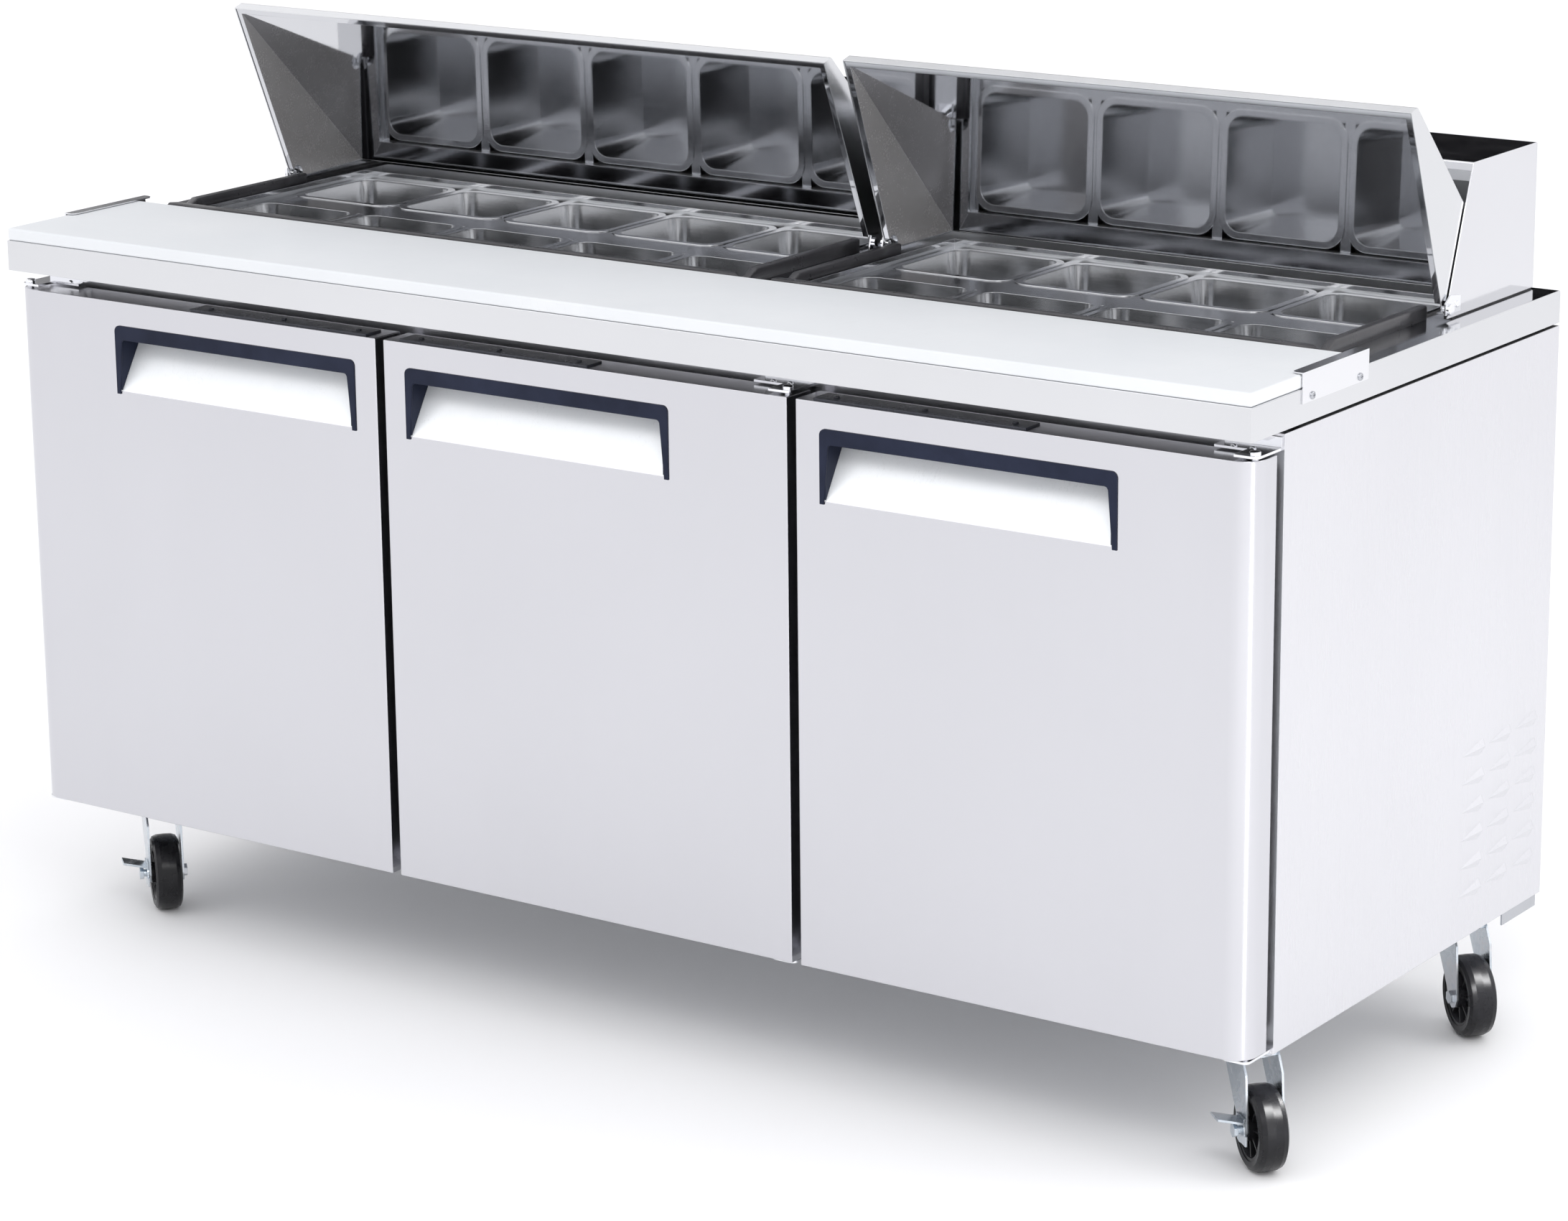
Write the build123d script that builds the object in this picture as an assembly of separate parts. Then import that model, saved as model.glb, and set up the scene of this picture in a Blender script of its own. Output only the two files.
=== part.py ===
from build123d import *
import os
import math

# ---------------------------------------------------------------- driving dimensions (mm)
WIDTH = 1845.0            # worktop width, left to right
DEPTH = 760.0             # worktop depth, front to back
TOP_Z = 915.0             # worktop surface above the floor
APRON_H = 39.4            # folded apron height
SHEET = 1.5               # worktop and shell sheet thickness
BODY_TOP = 871.7          # top edge of the cabinet box
BODY_BOT = 149.0          # bottom edge of the cabinet box
BODY_FRONT = -305.0       # front edge of the cabinet box
DOOR_FRONT = -370.0       # front face of the doors
DOOR_BACK = -321.0        # rear face of the doors
DOOR_BOT = 157.0
DOOR_TOP = 851.0
DOOR_SHEET = 1.2
DOOR_SPANS = {"left": (-922.0, -315.2), "centre": (-302.2, 302.8), "right": (315.3, 922.0)}
DOOR_HINGE = {"left": -1, "centre": 1, "right": 1}     # side of the hinge: -1 left, +1 right
DOOR_CORNER = {"left": 28.0, "centre": 1.2, "right": 28.0}
PIVOT_IN = 10.0           # door pivot in from the hinge edge
PIVOT_BACK = 18.0         # door pivot back from the front face
HANDLE_W = 400.0
HANDLE_TOP = 820.0
HANDLE_BOT = 730.0
HANDLE_IN = 34.0          # handle in from the free edge
BOARD_D = 241.0           # cutting board depth
BOARD_T = 16.0            # cutting board thickness
WELLS = {"left": (-852.0, 50.0, 5), "right": (130.0, 852.0, 4)}   # x range and pan columns
WELL_Y0, WELL_Y1 = -118.0, 258.0
PAN_W, PAN_L, PAN_H = 176.0, 162.0, 100.0
PAN_PITCH_X, PAN_PITCH_Y = 180.0, 210.0
RIM_Z = 907.8             # underside of the pan rims
HOOD_X = 889.0            # half width of the hood
HOOD_Y0, HOOD_Y1, HOOD_YB = 141.0, 204.0, 373.0
HOOD_Z0, HOOD_Z1 = 917.0, 1094.0
LID_A = (47.0, 1173.6)    # lip, lower corner (y, z), lid open
LID_B = (62.4, 1178.0)    # lip, upper corner
LID_C = (306.9, 922.5)    # ridge, inside the hood when the lid is open
LID_D = (140.5, 922.5)    # rear corner at the mouth
LID_P = (145.0, 929.0)    # lid pivot
LIDS = {"left": (-886.2, 80.0, 2.0), "right": (102.0, 886.2, 0.0)}  # x range, degrees short of fully open
LID_TOP_WALL = 16.0       # insulated thickness of a lid's top
LID_LIP_WALL, LID_END_WALL = 9.0, 9.0
BAY_Y, BAY_Z = 120.0, 430.0   # machine bay: front and top
INNER_X = 872.0           # half width inside the cabinet
WHEEL_R, WHEEL_W = 51.0, 36.0
TRAIL = 38.0
CASTERS = {"front_left": (-812.0, -262.0), "front_right": (872.0, -265.0),
           "rear_left": (-812.0, 262.0), "rear_right": (872.0, 262.0)}
CASTER_DEG = -41.0        # direction of the trail, from +X
G = 0.05                  # assembly gap between fitted pieces

os.makedirs("parts", exist_ok=True)
NODES = {}


# ---------------------------------------------------------------- helpers
def bx(x0, x1, y0, y1, z0, z1):
    return Pos((x0 + x1) / 2, (y0 + y1) / 2, (z0 + z1) / 2) * Box(abs(x1 - x0), abs(y1 - y0), abs(z1 - z0))


def prism_x(pts, x0, x1):
    f = Face(Wire.make_polygon([Vector(x0, p[0], p[1]) for p in pts], close=True))
    return extrude(f, amount=x1 - x0, dir=(1, 0, 0))


def prism_y(pts, y0, y1):
    f = Face(Wire.make_polygon([Vector(p[0], y0, p[1]) for p in pts], close=True))
    return extrude(f, amount=y1 - y0, dir=(0, 1, 0))


def prism_z(pts, z0, z1):
    f = Face(Wire.make_polygon([Vector(p[0], p[1], z0) for p in pts], close=True))
    return extrude(f, amount=z1 - z0, dir=(0, 0, 1))


def cyl(p, d, r, h):
    return Plane(origin=p, z_dir=d) * Cylinder(r, h, align=(Align.CENTER, Align.CENTER, Align.MIN))


def solids_of(items):
    out = []
    for it in items if isinstance(items, (list, tuple)) else [items]:
        out.extend(it.solids())
    return out


def node(name, items):
    s = solids_of(items)
    NODES[name] = s
    shape = s[0] if len(s) == 1 else Compound(s)
    export_step(shape, "parts/%s.step" % name)


def soft(shape, edges, r):
    for k in (1.0, 0.6, 0.3):
        try:
            out = fillet(edges, r * k)
            if out.is_valid and out.volume > 0:
                return out
        except Exception:
            continue
    return shape


def tetra(a, b, c, d):
    def tri(p, q, r):
        return Face(Wire.make_polygon([Vector(*p), Vector(*q), Vector(*r)], close=True))
    return Solid(Shell([tri(a, b, c), tri(a, b, d), tri(b, c, d), tri(c, a, d)]))


def rot_yz(p, deg, c=LID_P):
    t = math.radians(deg)
    y, z = p[0] - c[0], p[1] - c[1]
    return (c[0] + y * math.cos(t) - z * math.sin(t), c[1] + y * math.sin(t) + z * math.cos(t))


def offset_line(p, q, d):
    """Line p-q moved by d to the left of the direction p to q."""
    ux, uy = q[0] - p[0], q[1] - p[1]
    n = math.hypot(ux, uy)
    nx, ny = -uy / n * d, ux / n * d
    return (p[0] + nx, p[1] + ny), (q[0] + nx, q[1] + ny)


def meet(l1, l2):
    (x1, y1), (x2, y2) = l1
    (x3, y3), (x4, y4) = l2
    den = (x1 - x2) * (y3 - y4) - (y1 - y2) * (x3 - x4)
    a, b = x1 * y2 - y1 * x2, x3 * y4 - y3 * x4
    return ((a * (x3 - x4) - (x1 - x2) * b) / den, (a * (y3 - y4) - (y1 - y2) * b) / den)


XH, YH = WIDTH / 2, DEPTH / 2

# ---------------------------------------------------------------- worktop
top = bx(-XH, XH, -YH, YH, TOP_Z - APRON_H, TOP_Z)
top = fillet(top.edges().filter_by(Axis.X).group_by(Axis.Z)[-1] + top.edges().filter_by(Axis.Y).group_by(Axis.Z)[-1], 1.4)
top -= bx(-XH + SHEET, XH - SHEET, -YH + SHEET, YH - SHEET, TOP_Z - APRON_H + SHEET, TOP_Z - SHEET)
top -= bx(-XH + 18, XH - 18, -YH + 18, YH - 18, TOP_Z - APRON_H - 1, TOP_Z - APRON_H + SHEET + 1)
for k, (x0, x1, n) in WELLS.items():
    top += bx(x0 - 2, x1 + 2, WELL_Y0 - 2, WELL_Y1 + 2, TOP_Z - 1, TOP_Z + 4)
    top -= bx(x0, x1, WELL_Y0, WELL_Y1, TOP_Z - 5, TOP_Z + 5)
node("worktop", top)

# ---------------------------------------------------------------- lid and hood seals
seals = []
for k, (x0, x1, n) in WELLS.items():
    # three straight lengths round the front and the sides of each well
    for xa, xb, ya, yb in ((x0 - 14, x1 + 14, WELL_Y0 - 14, WELL_Y0 - 2.6),
                           (x0 - 14, x0 - 2.6, WELL_Y0 - 2.6 + G, HOOD_Y0 - 3),
                           (x1 + 2.6, x1 + 14, WELL_Y0 - 2.6 + G, HOOD_Y0 - 3)):
        s = bx(xa, xb, ya, yb, TOP_Z, TOP_Z + 6)
        seals.append(soft(s, s.edges().group_by(Axis.Z)[-1], 1.5))
hx, hy0, hy1 = HOOD_X - 1.5, HOOD_Y0 + 20, HOOD_YB - 1.5
seals.append(bx(-hx, hx, hy1 - 10.5, hy1, TOP_Z, HOOD_Z0 - G))
for s in (-1, 1):
    a, b = sorted((s * hx, s * (hx - 10.5)))
    seals.append(bx(a, b, hy0, hy1 - 10.5 - G, TOP_Z, HOOD_Z0 - G))
node("lid_seals", seals)

# ---------------------------------------------------------------- cabinet panels
def louvres(side):
    out = []
    for ci, y0 in enumerate((149.0, 220.0, 291.0)):
        for r in range(6):
            z = 388.0 - 35.6 * r
            x = side * XH
            f = (x - side * 0.4, y0, z - 5.0)
            t = (x - side * 0.4, y0 + 58.0, z + 7.0)
            b = (x - side * 0.4, y0 + 50.0, z - 14.0)
            p = (x + side * 6.0, y0 + 53.0, z - 2.0)
            out.append((tetra(f, t, b, p), (y0, z)))
    return out


def side_panel(side):
    x1, x0 = side * XH, side * (XH - 1.2)
    p = bx(min(x0, x1), max(x0, x1), BODY_FRONT, YH, BODY_BOT, BODY_TOP)
    slots = []
    for t, (y0, z) in louvres(side):
        p += t
        slots.append(prism_x([(y0 + 52.6, z - 11.0), (y0 + 56.5, z + 3.5), (y0 + 60.0, z + 3.5), (y0 + 57.0, z - 11.0)],
                             min(side * (XH - 3), side * (XH + 0.01)), max(side * (XH - 3), side * (XH + 0.01))))
    # the panel is pierced behind the open rear end of each louvre
    p -= slots
    # hemmed return along the front edge
    p += bx(min(side * (XH - 12), x0), max(side * (XH - 12), x0), BODY_FRONT, BODY_FRONT + 1.2, BODY_BOT, BODY_TOP)
    return p


node("side_panels", [side_panel(-1), side_panel(1)])

back = bx(-XH + 1.3, XH - 1.3, YH - 1.2, YH, BODY_BOT, BODY_TOP)
vents = []
for gx in (-560.0, 0.0, 560.0):
    for i in range(9):
        z = 190.0 + 24.0 * i
        vents.append(bx(gx - 190, gx - 8, YH - 3, YH + 1, z, z + 7))
        vents.append(bx(gx + 8, gx + 190, YH - 3, YH + 1, z, z + 7))
back -= vents
node("back_panel", back)

bottom = bx(-XH + 12.1, XH - 12.1, BODY_FRONT + 0.1, YH - 1.3, BODY_BOT, BODY_BOT + 1.9)
bottom -= [bx(x - 120, x + 120, 190, 340, BODY_BOT - 1, BODY_BOT + 3) for x in (-420.0, 420.0)]
node("bottom_panel", bottom)

FZ0, FZ1 = BODY_BOT + 2.0, BODY_TOP
FY0, FY1 = BODY_FRONT + 0.02, -265.0
FRX = XH - 12.1
STILE, MULL0, MULL1 = INNER_X, 272.0, 345.0
SILL, HEAD = 195.0, 815.0
frame = [bx(-FRX, FRX, FY0, FY1, HEAD, FZ1),
         bx(-FRX, FRX, FY0, FY1, FZ0, SILL)]
for s in (-1, 1):
    a, b = sorted((s * FRX, s * STILE))
    frame.append(bx(a, b, FY0, FY1, SILL + G, HEAD - G))
    a, b = sorted((s * MULL0, s * MULL1))
    frame.append(bx(a, b, FY0, FY1, SILL + G, HEAD - G))
node("face_frame", frame)

# ---------------------------------------------------------------- insulation and liner
IX = XH - 1.3
ins = []
for s in (-1, 1):
    a, b = sorted((s * IX, s * INNER_X))
    ins.append(bx(a, b, FY1 + G, BAY_Y, FZ0, BAY_Z - G))
    ins.append(bx(a, b, FY1 + G, YH - 1.3, BAY_Z, BODY_TOP))
ix = INNER_X - G
ins += [bx(-ix, ix, FY1 + G, BAY_Y, FZ0, 200.0),
        bx(-ix, ix, 70.0, BAY_Y, 200.0 + G, BAY_Z - G),
        bx(-ix, ix, 70.0, YH - 1.3, BAY_Z, 480.0),
        bx(-ix, ix, 330.0, YH - 1.3, 480.0 + G, BODY_TOP)]
# insulation under the worktop, in strips round the pan wells
TZ0, TZ1 = 873.0, TOP_Z - SHEET - G
tx, ty = 904.0, 361.0
lw, rw = WELLS["left"], WELLS["right"]
ins += [bx(-tx, tx, -ty, WELL_Y0 - 1, TZ0, TZ1), bx(-tx, tx, WELL_Y1 + 1, ty, TZ0, TZ1)]
for a, b in ((-tx, lw[0] - 1), (lw[1] + 1, rw[0] - 1), (rw[1] + 1, tx)):
    ins.append(bx(a, b, WELL_Y0 - 1 + G, WELL_Y1 + 1 - G, TZ0, TZ1))
node("cabinet_insulation", ins)

lin = []
for s in (-1, 1):
    a, b = sorted((s * (INNER_X - 2 * G), s * (INNER_X - 1.1)))
    lin.append(prism_x([(FY1 + 0.1, 201.1), (68.8, 201.1), (68.8, 481.2), (328.8, 481.2), (328.8, 870.6), (FY1 + 0.1, 870.6)], a, b))
lx = INNER_X - 1.2
lin += [bx(-lx, lx, FY1 + 0.1, 69.9, 200.1, 201.0),
        bx(-lx, lx, 68.9, 69.9, 201.1, 480.0),
        bx(-lx, lx, 68.9, 329.9, 480.1, 481.1),
        bx(-lx, lx, 328.9, 329.9, 481.2, 870.6)]
cz0, cz1 = 871.8, 872.9
lin += [bx(-tx, tx, -304.0, WELL_Y0, cz0, cz1), bx(-tx, tx, WELL_Y1, ty, cz0, cz1)]
for a, b in ((-tx, lw[0]), (lw[1], rw[0]), (rw[1], tx)):
    lin.append(bx(a, b, WELL_Y0 + G, WELL_Y1 - G, cz0, cz1))
for x0, x1, n in WELLS.values():
    w = bx(x0 - 0.9, x1 + 0.9, WELL_Y0 - 0.9, WELL_Y1 + 0.9, TZ0 + 0.1, TZ1)
    w -= bx(x0, x1, WELL_Y0, WELL_Y1, TZ0 - 1, TZ1 + 1)
    lin.append(w)
node("cabinet_liner", lin)

# ---------------------------------------------------------------- pans and their bars
bars = []
for x0, x1, n in WELLS.values():
    xc = (x0 + x1) / 2
    first = xc - (n - 1) / 2 * PAN_PITCH_X
    for i in range(n - 1):
        c = first + (i + 0.5) * PAN_PITCH_X
        b = bx(c - 7, c + 7, WELL_Y0 + G, WELL_Y1 - G, RIM_Z - 12, RIM_Z - G)
        b -= bx(c - 5, c + 5, WELL_Y0 - 1, WELL_Y1 + 1, RIM_Z - 13, RIM_Z - 2)
        bars.append(b)
    # a folded cross piece carries the rims between the two rows
    for i in range(n):
        a = x0 + 9.05 if i == 0 else first + (i - 0.5) * PAN_PITCH_X + 7.05
        e = x1 - 9.05 if i == n - 1 else first + (i + 0.5) * PAN_PITCH_X - 7.05
        b = bx(a, e, 39.8, 100.2, RIM_Z - 12, RIM_Z - G)
        b -= bx(a - 1, e + 1, 41.8, 98.2, RIM_Z - 13, RIM_Z - 2)
        bars.append(b)
    bars.append(bx(x0 + G, x0 + 9, WELL_Y0 + G, WELL_Y1 - G, RIM_Z - 12, RIM_Z - G))
    bars.append(bx(x1 - 9, x1 - G, WELL_Y0 + G, WELL_Y1 - G, RIM_Z - 12, RIM_Z - G))
node("pan_support_bars", bars)

body_o = extrude(RectangleRounded(160, 146, 22), amount=-PAN_H, taper=5.7)
body_i = extrude(RectangleRounded(158, 144, 21), amount=-(PAN_H - 1), taper=5.7)
rim = extrude(RectangleRounded(PAN_W, PAN_L, 28), amount=1.2)
rim = soft(rim, rim.edges().group_by(Axis.Z)[-1], 0.8)
pan = rim + body_o - body_i - extrude(RectangleRounded(158, 144, 21), amount=2)
pan = pan.solids()[0]
rows = {"front": (WELL_Y0 + WELL_Y1) / 2 - PAN_PITCH_Y / 2, "rear": (WELL_Y0 + WELL_Y1) / 2 + PAN_PITCH_Y / 2}
for rn, y in rows.items():
    ps = []
    for x0, x1, n in WELLS.values():
        first = (x0 + x1) / 2 - (n - 1) / 2 * PAN_PITCH_X
        ps += [Pos(first + i * PAN_PITCH_X, y, RIM_Z) * pan for i in range(n)]
    node("food_pans_" + rn, ps)

# ---------------------------------------------------------------- cutting board and its brackets
board = bx(-XH + 0.8, XH - 0.8, -YH, -YH + BOARD_D, TOP_Z + G, TOP_Z + BOARD_T)
board = soft(board, board.edges(), 3.0)
node("cutting_board", board)

brackets, screws = [], []
for s in (-1, 1):
    x0, x1 = XH + G, XH + 1.8
    y0, y1 = -269.0, -115.0
    zt = TOP_Z + BOARD_T + 2.4
    plate = bx(x0, x1, y0, y1, 898.0, zt) + bx(909.0, x1, y0, y1, zt - 1.6, zt)
    plate = soft(plate, plate.edges().filter_by(Axis.Z).group_by(Axis.X)[0], 8.0)
    for y in (-247.0, -135.5):
        plate -= cyl((XH - 1, y, 904.5), (1, 0, 0), 2.6, 6)
        h = cyl((x1, y, 904.5), (1, 0, 0), 4.6, 2.2)
        h = soft(h, h.edges().group_by(Axis.X)[-1], 1.6)
        h += cyl((x0 - 0.02, y, 904.5), (1, 0, 0), 2.5, 2.0)
        h -= bx(x1 + 1.2, x1 + 3, y - 2.6, y + 2.6, 904.0, 905.0)
        h -= bx(x1 + 1.2, x1 + 3, y - 0.5, y + 0.5, 901.9, 907.1)
        screws.append(h if s == 1 else mirror(h, Plane.YZ))
    brackets.append(plate if s == 1 else mirror(plate, Plane.YZ))
node("board_brackets", brackets)

# ---------------------------------------------------------------- rear hood
def on_front(z, d=0.0):
    y = HOOD_Y0 + (HOOD_Y1 - HOOD_Y0) * (z - TOP_Z) / (HOOD_Z1 - TOP_Z)
    return (y + d / math.cos(math.atan2(HOOD_Y1 - HOOD_Y0, HOOD_Z1 - TOP_Z)), z)


hood = prism_x([on_front(HOOD_Z0), (HOOD_Y1, HOOD_Z1), (HOOD_YB, HOOD_Z1), (HOOD_YB, HOOD_Z0)], -HOOD_X, HOOD_X)
hood = soft(hood, hood.edges().filter_by(Axis.X).group_by(Axis.Z)[-1], 2.0)
# open at the front, where the lids swing in, but for a short lip under the top's front edge
hood -= prism_x([(100.0, HOOD_Z0 - 5), (100.0, HOOD_Z1 - 10), (HOOD_Y1 + SHEET, HOOD_Z1 - 10), (HOOD_Y1 + SHEET, HOOD_Z1 - SHEET),
                 (HOOD_YB - SHEET, HOOD_Z1 - SHEET), (HOOD_YB - SHEET, HOOD_Z0 - 5)], -HOOD_X + SHEET, HOOD_X - SHEET)
# clear of the lid pivots at the two ends
hood -= cyl((-HOOD_X - 5, LID_P[0], LID_P[1]), (1, 0, 0), 9.5, 2 * HOOD_X + 10)
hood -= bx(-HOOD_X - 1, HOOD_X + 1, HOOD_Y0 - 10, LID_P[0] + 1.5, HOOD_Z0 - 1, 945.0)
node("hood_shell", hood)

hl = prism_x([(240.0, HOOD_Z1 - SHEET - 0.1), (HOOD_YB - SHEET - 0.1, HOOD_Z1 - SHEET - 0.1),
              (HOOD_YB - SHEET - 0.1, HOOD_Z0), (340.0, HOOD_Z0), (340.0, 1064.0), (240.0, 1064.0)], -HOOD_X + SHEET + 0.1, HOOD_X - SHEET - 0.1)
node("hood_liner", hl)

# lid pivots: stud brackets at the hood's ends and a two-eared foot between the lids
studs = []
for s in (-1, 1):
    e = prism_x([(137.5, 922.5), (176.0, 922.5), (176.0, 941.0), (150.0, 945.0), (137.5, 936.0)], HOOD_X + G, HOOD_X + 2.2)
    e += cyl((HOOD_X - 6.6, LID_P[0], LID_P[1]), (1, 0, 0), 4.0, 8.8)
    k = cyl((HOOD_X + 2.2, LID_P[0], LID_P[1]), (1, 0, 0), 7.0, 5.5)
    k = soft(k, k.edges().group_by(Axis.X)[-1], 2.5)
    e += k
    k2 = cyl((HOOD_X + 2.2, 166.0, 932.0), (1, 0, 0), 4.0, 2.4)
    e += soft(k2, k2.edges().group_by(Axis.X)[-1], 1.8)
    studs.append(e if s == 1 else mirror(e, Plane.YZ))
foot = bx(81.0, 101.0, 122.0, 172.0, TOP_Z + G, TOP_Z + 2.2)
for x0, x1, xa, xb in ((80.6, 82.6, 76.5, 82.6), (99.4, 101.4, 99.4, 105.5)):
    foot += prism_x([(132.0, TOP_Z + 0.5), (168.0, TOP_Z + 0.5), (160.0, 938.0), (138.0, 938.0)], x0, x1)
    foot += cyl((xa, LID_P[0], LID_P[1]), (1, 0, 0), 4.0, xb - xa)
for x0, x1 in ((82.6, 86.5), (95.5, 99.4)):
    k = cyl((x0, LID_P[0], LID_P[1]), (1, 0, 0), 6.5, x1 - x0)
    foot += k
studs.append(foot)
node("lid_pivot_brackets", studs)

# ---------------------------------------------------------------- lids
def lid(x0, x1, short):
    A, B, C, D = (rot_yz(p, short) for p in (LID_A, LID_B, LID_C, LID_D))
    P = LID_P

    def inner(d_lip, d_top, d_rear, extra=30.0):
        # the lines of lip, top and rear panel moved inwards; open along A-D
        lip = offset_line(A, B, -d_lip)
        tp = offset_line(B, C, -d_top)
        rr = offset_line(C, D, -d_rear)
        b, c = meet(lip, tp), meet(tp, rr)
        ad = (D[0] - A[0], D[1] - A[1])
        n = math.hypot(*ad)
        nx, ny = ad[1] / n, -ad[0] / n        # away from the lid's inside, through the mouth
        if (C[0] - A[0]) * nx + (C[1] - A[1]) * ny > 0:
            nx, ny = -nx, -ny
        mouth = ((A[0] + nx * extra, A[1] + ny * extra), (D[0] + nx * extra, D[1] + ny * extra))
        return [meet(lip, mouth), b, c, meet(rr, mouth)]

    sh = prism_x([A, B, C, D], x0, x1)
    for pt, r in ((C, 4.0), (B, 2.5), (D, 5.5)):
        sh = soft(sh, [e for e in sh.edges().filter_by(Axis.X) if abs(e.center().Y - pt[0]) < 1 and abs(e.center().Z - pt[1]) < 1], r)
    sh -= prism_x(inner(SHEET, SHEET, SHEET), x0 + SHEET, x1 - SHEET)
    # the rear is open but for a return flange round it, as deep as the lid's walls
    sh -= prism_x(inner(LID_LIP_WALL, LID_TOP_WALL, -20.0), x0 + LID_END_WALL, x1 - LID_END_WALL)
    # pivot holes near the rear corner of each end
    for xa, xb in ((x0, x0 + SHEET), (x1 - SHEET, x1)):
        sh += cyl((xa, P[0], P[1]), (1, 0, 0), 6.6, xb - xa)
        sh -= cyl((xa - 1, P[0], P[1]), (1, 0, 0), 4.06, xb - xa + 2)
    t, w = SHEET + 0.08, LID_END_WALL
    ln = prism_x(inner(t, t, t), x0 + t, x1 - t) - prism_x(inner(LID_LIP_WALL, LID_TOP_WALL, -20.0, 60.0), x0 + w, x1 - w)
    # cut the liner square with the mouth, 1 mm inside it
    ad = (D[0] - A[0], D[1] - A[1])
    n = math.hypot(*ad)
    nx, ny = ad[1] / n, -ad[0] / n
    if (C[0] - A[0]) * nx + (C[1] - A[1]) * ny > 0:
        nx, ny = -nx, -ny
    ux, uy = ad[0] / n * 80, ad[1] / n * 80
    cut = [(A[0] - ux - nx * 1.0, A[1] - uy - ny * 1.0), (D[0] + ux - nx * 1.0, D[1] + uy - ny * 1.0),
           (D[0] + ux + nx * 90, D[1] + uy + ny * 90), (A[0] - ux + nx * 90, A[1] - uy + ny * 90)]
    ln -= prism_x(cut, x0 - 1, x1 + 1)
    # relief round the pivot studs
    for xa, xb in ((x0, x0 + 9), (x1 - 9, x1)):
        ln -= cyl((xa, P[0], P[1]), (1, 0, 0), 11.0, xb - xa)
    return sh, ln


for k, (x0, x1, short) in LIDS.items():
    sh, ln = lid(x0, x1, short)
    node("lid_%s_shell" % k, sh)
    node("lid_%s_liner" % k, ln)

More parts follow.
